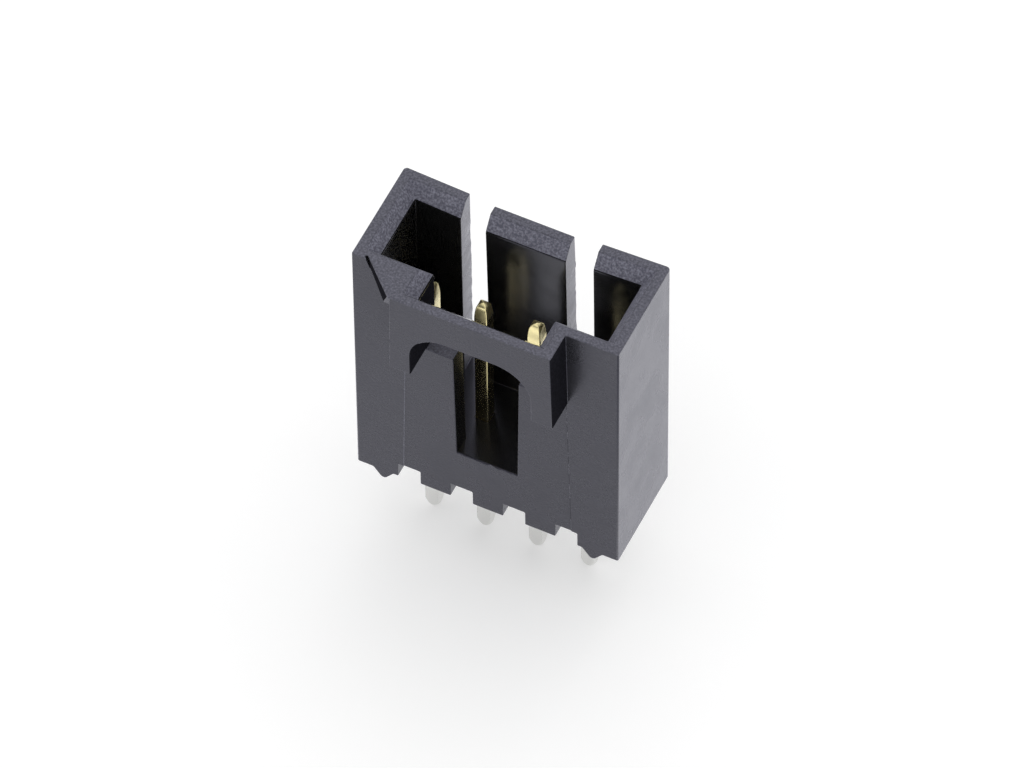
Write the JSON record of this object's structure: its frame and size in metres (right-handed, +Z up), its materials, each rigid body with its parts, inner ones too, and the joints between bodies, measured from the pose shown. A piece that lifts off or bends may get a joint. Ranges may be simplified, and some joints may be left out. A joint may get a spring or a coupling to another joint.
{
  "type": "pin header",
  "caption": "Shrouded pin header: a moulded box, open at the top, round a row of square contacts whose tails solder into a board.",
  "frame": {"origin": "middle of the contact row, on the plane of the board that the feet stand on", "axes": "+X along the contact row from contact 1 to contact 4, +Y to the back wall with the slots, +Z up out of the board, the way the plug comes off"},
  "size_m": [0.0126, 0.0066, 0.0197],
  "materials": {
    "housing_plastic": "black glass-filled thermoplastic, fine spark-eroded grain outside, polished in the cavity",
    "contact_metal": "copper alloy wire, gold plated at the mating end and tin plated on the tail"
  },
  "bodies": {
    "root": {"housing": "housing_plastic", "pin_1": "contact_metal", "pin_2": "contact_metal", "pin_3": "contact_metal", "pin_4": "contact_metal"}
  },
  "joints": []
}
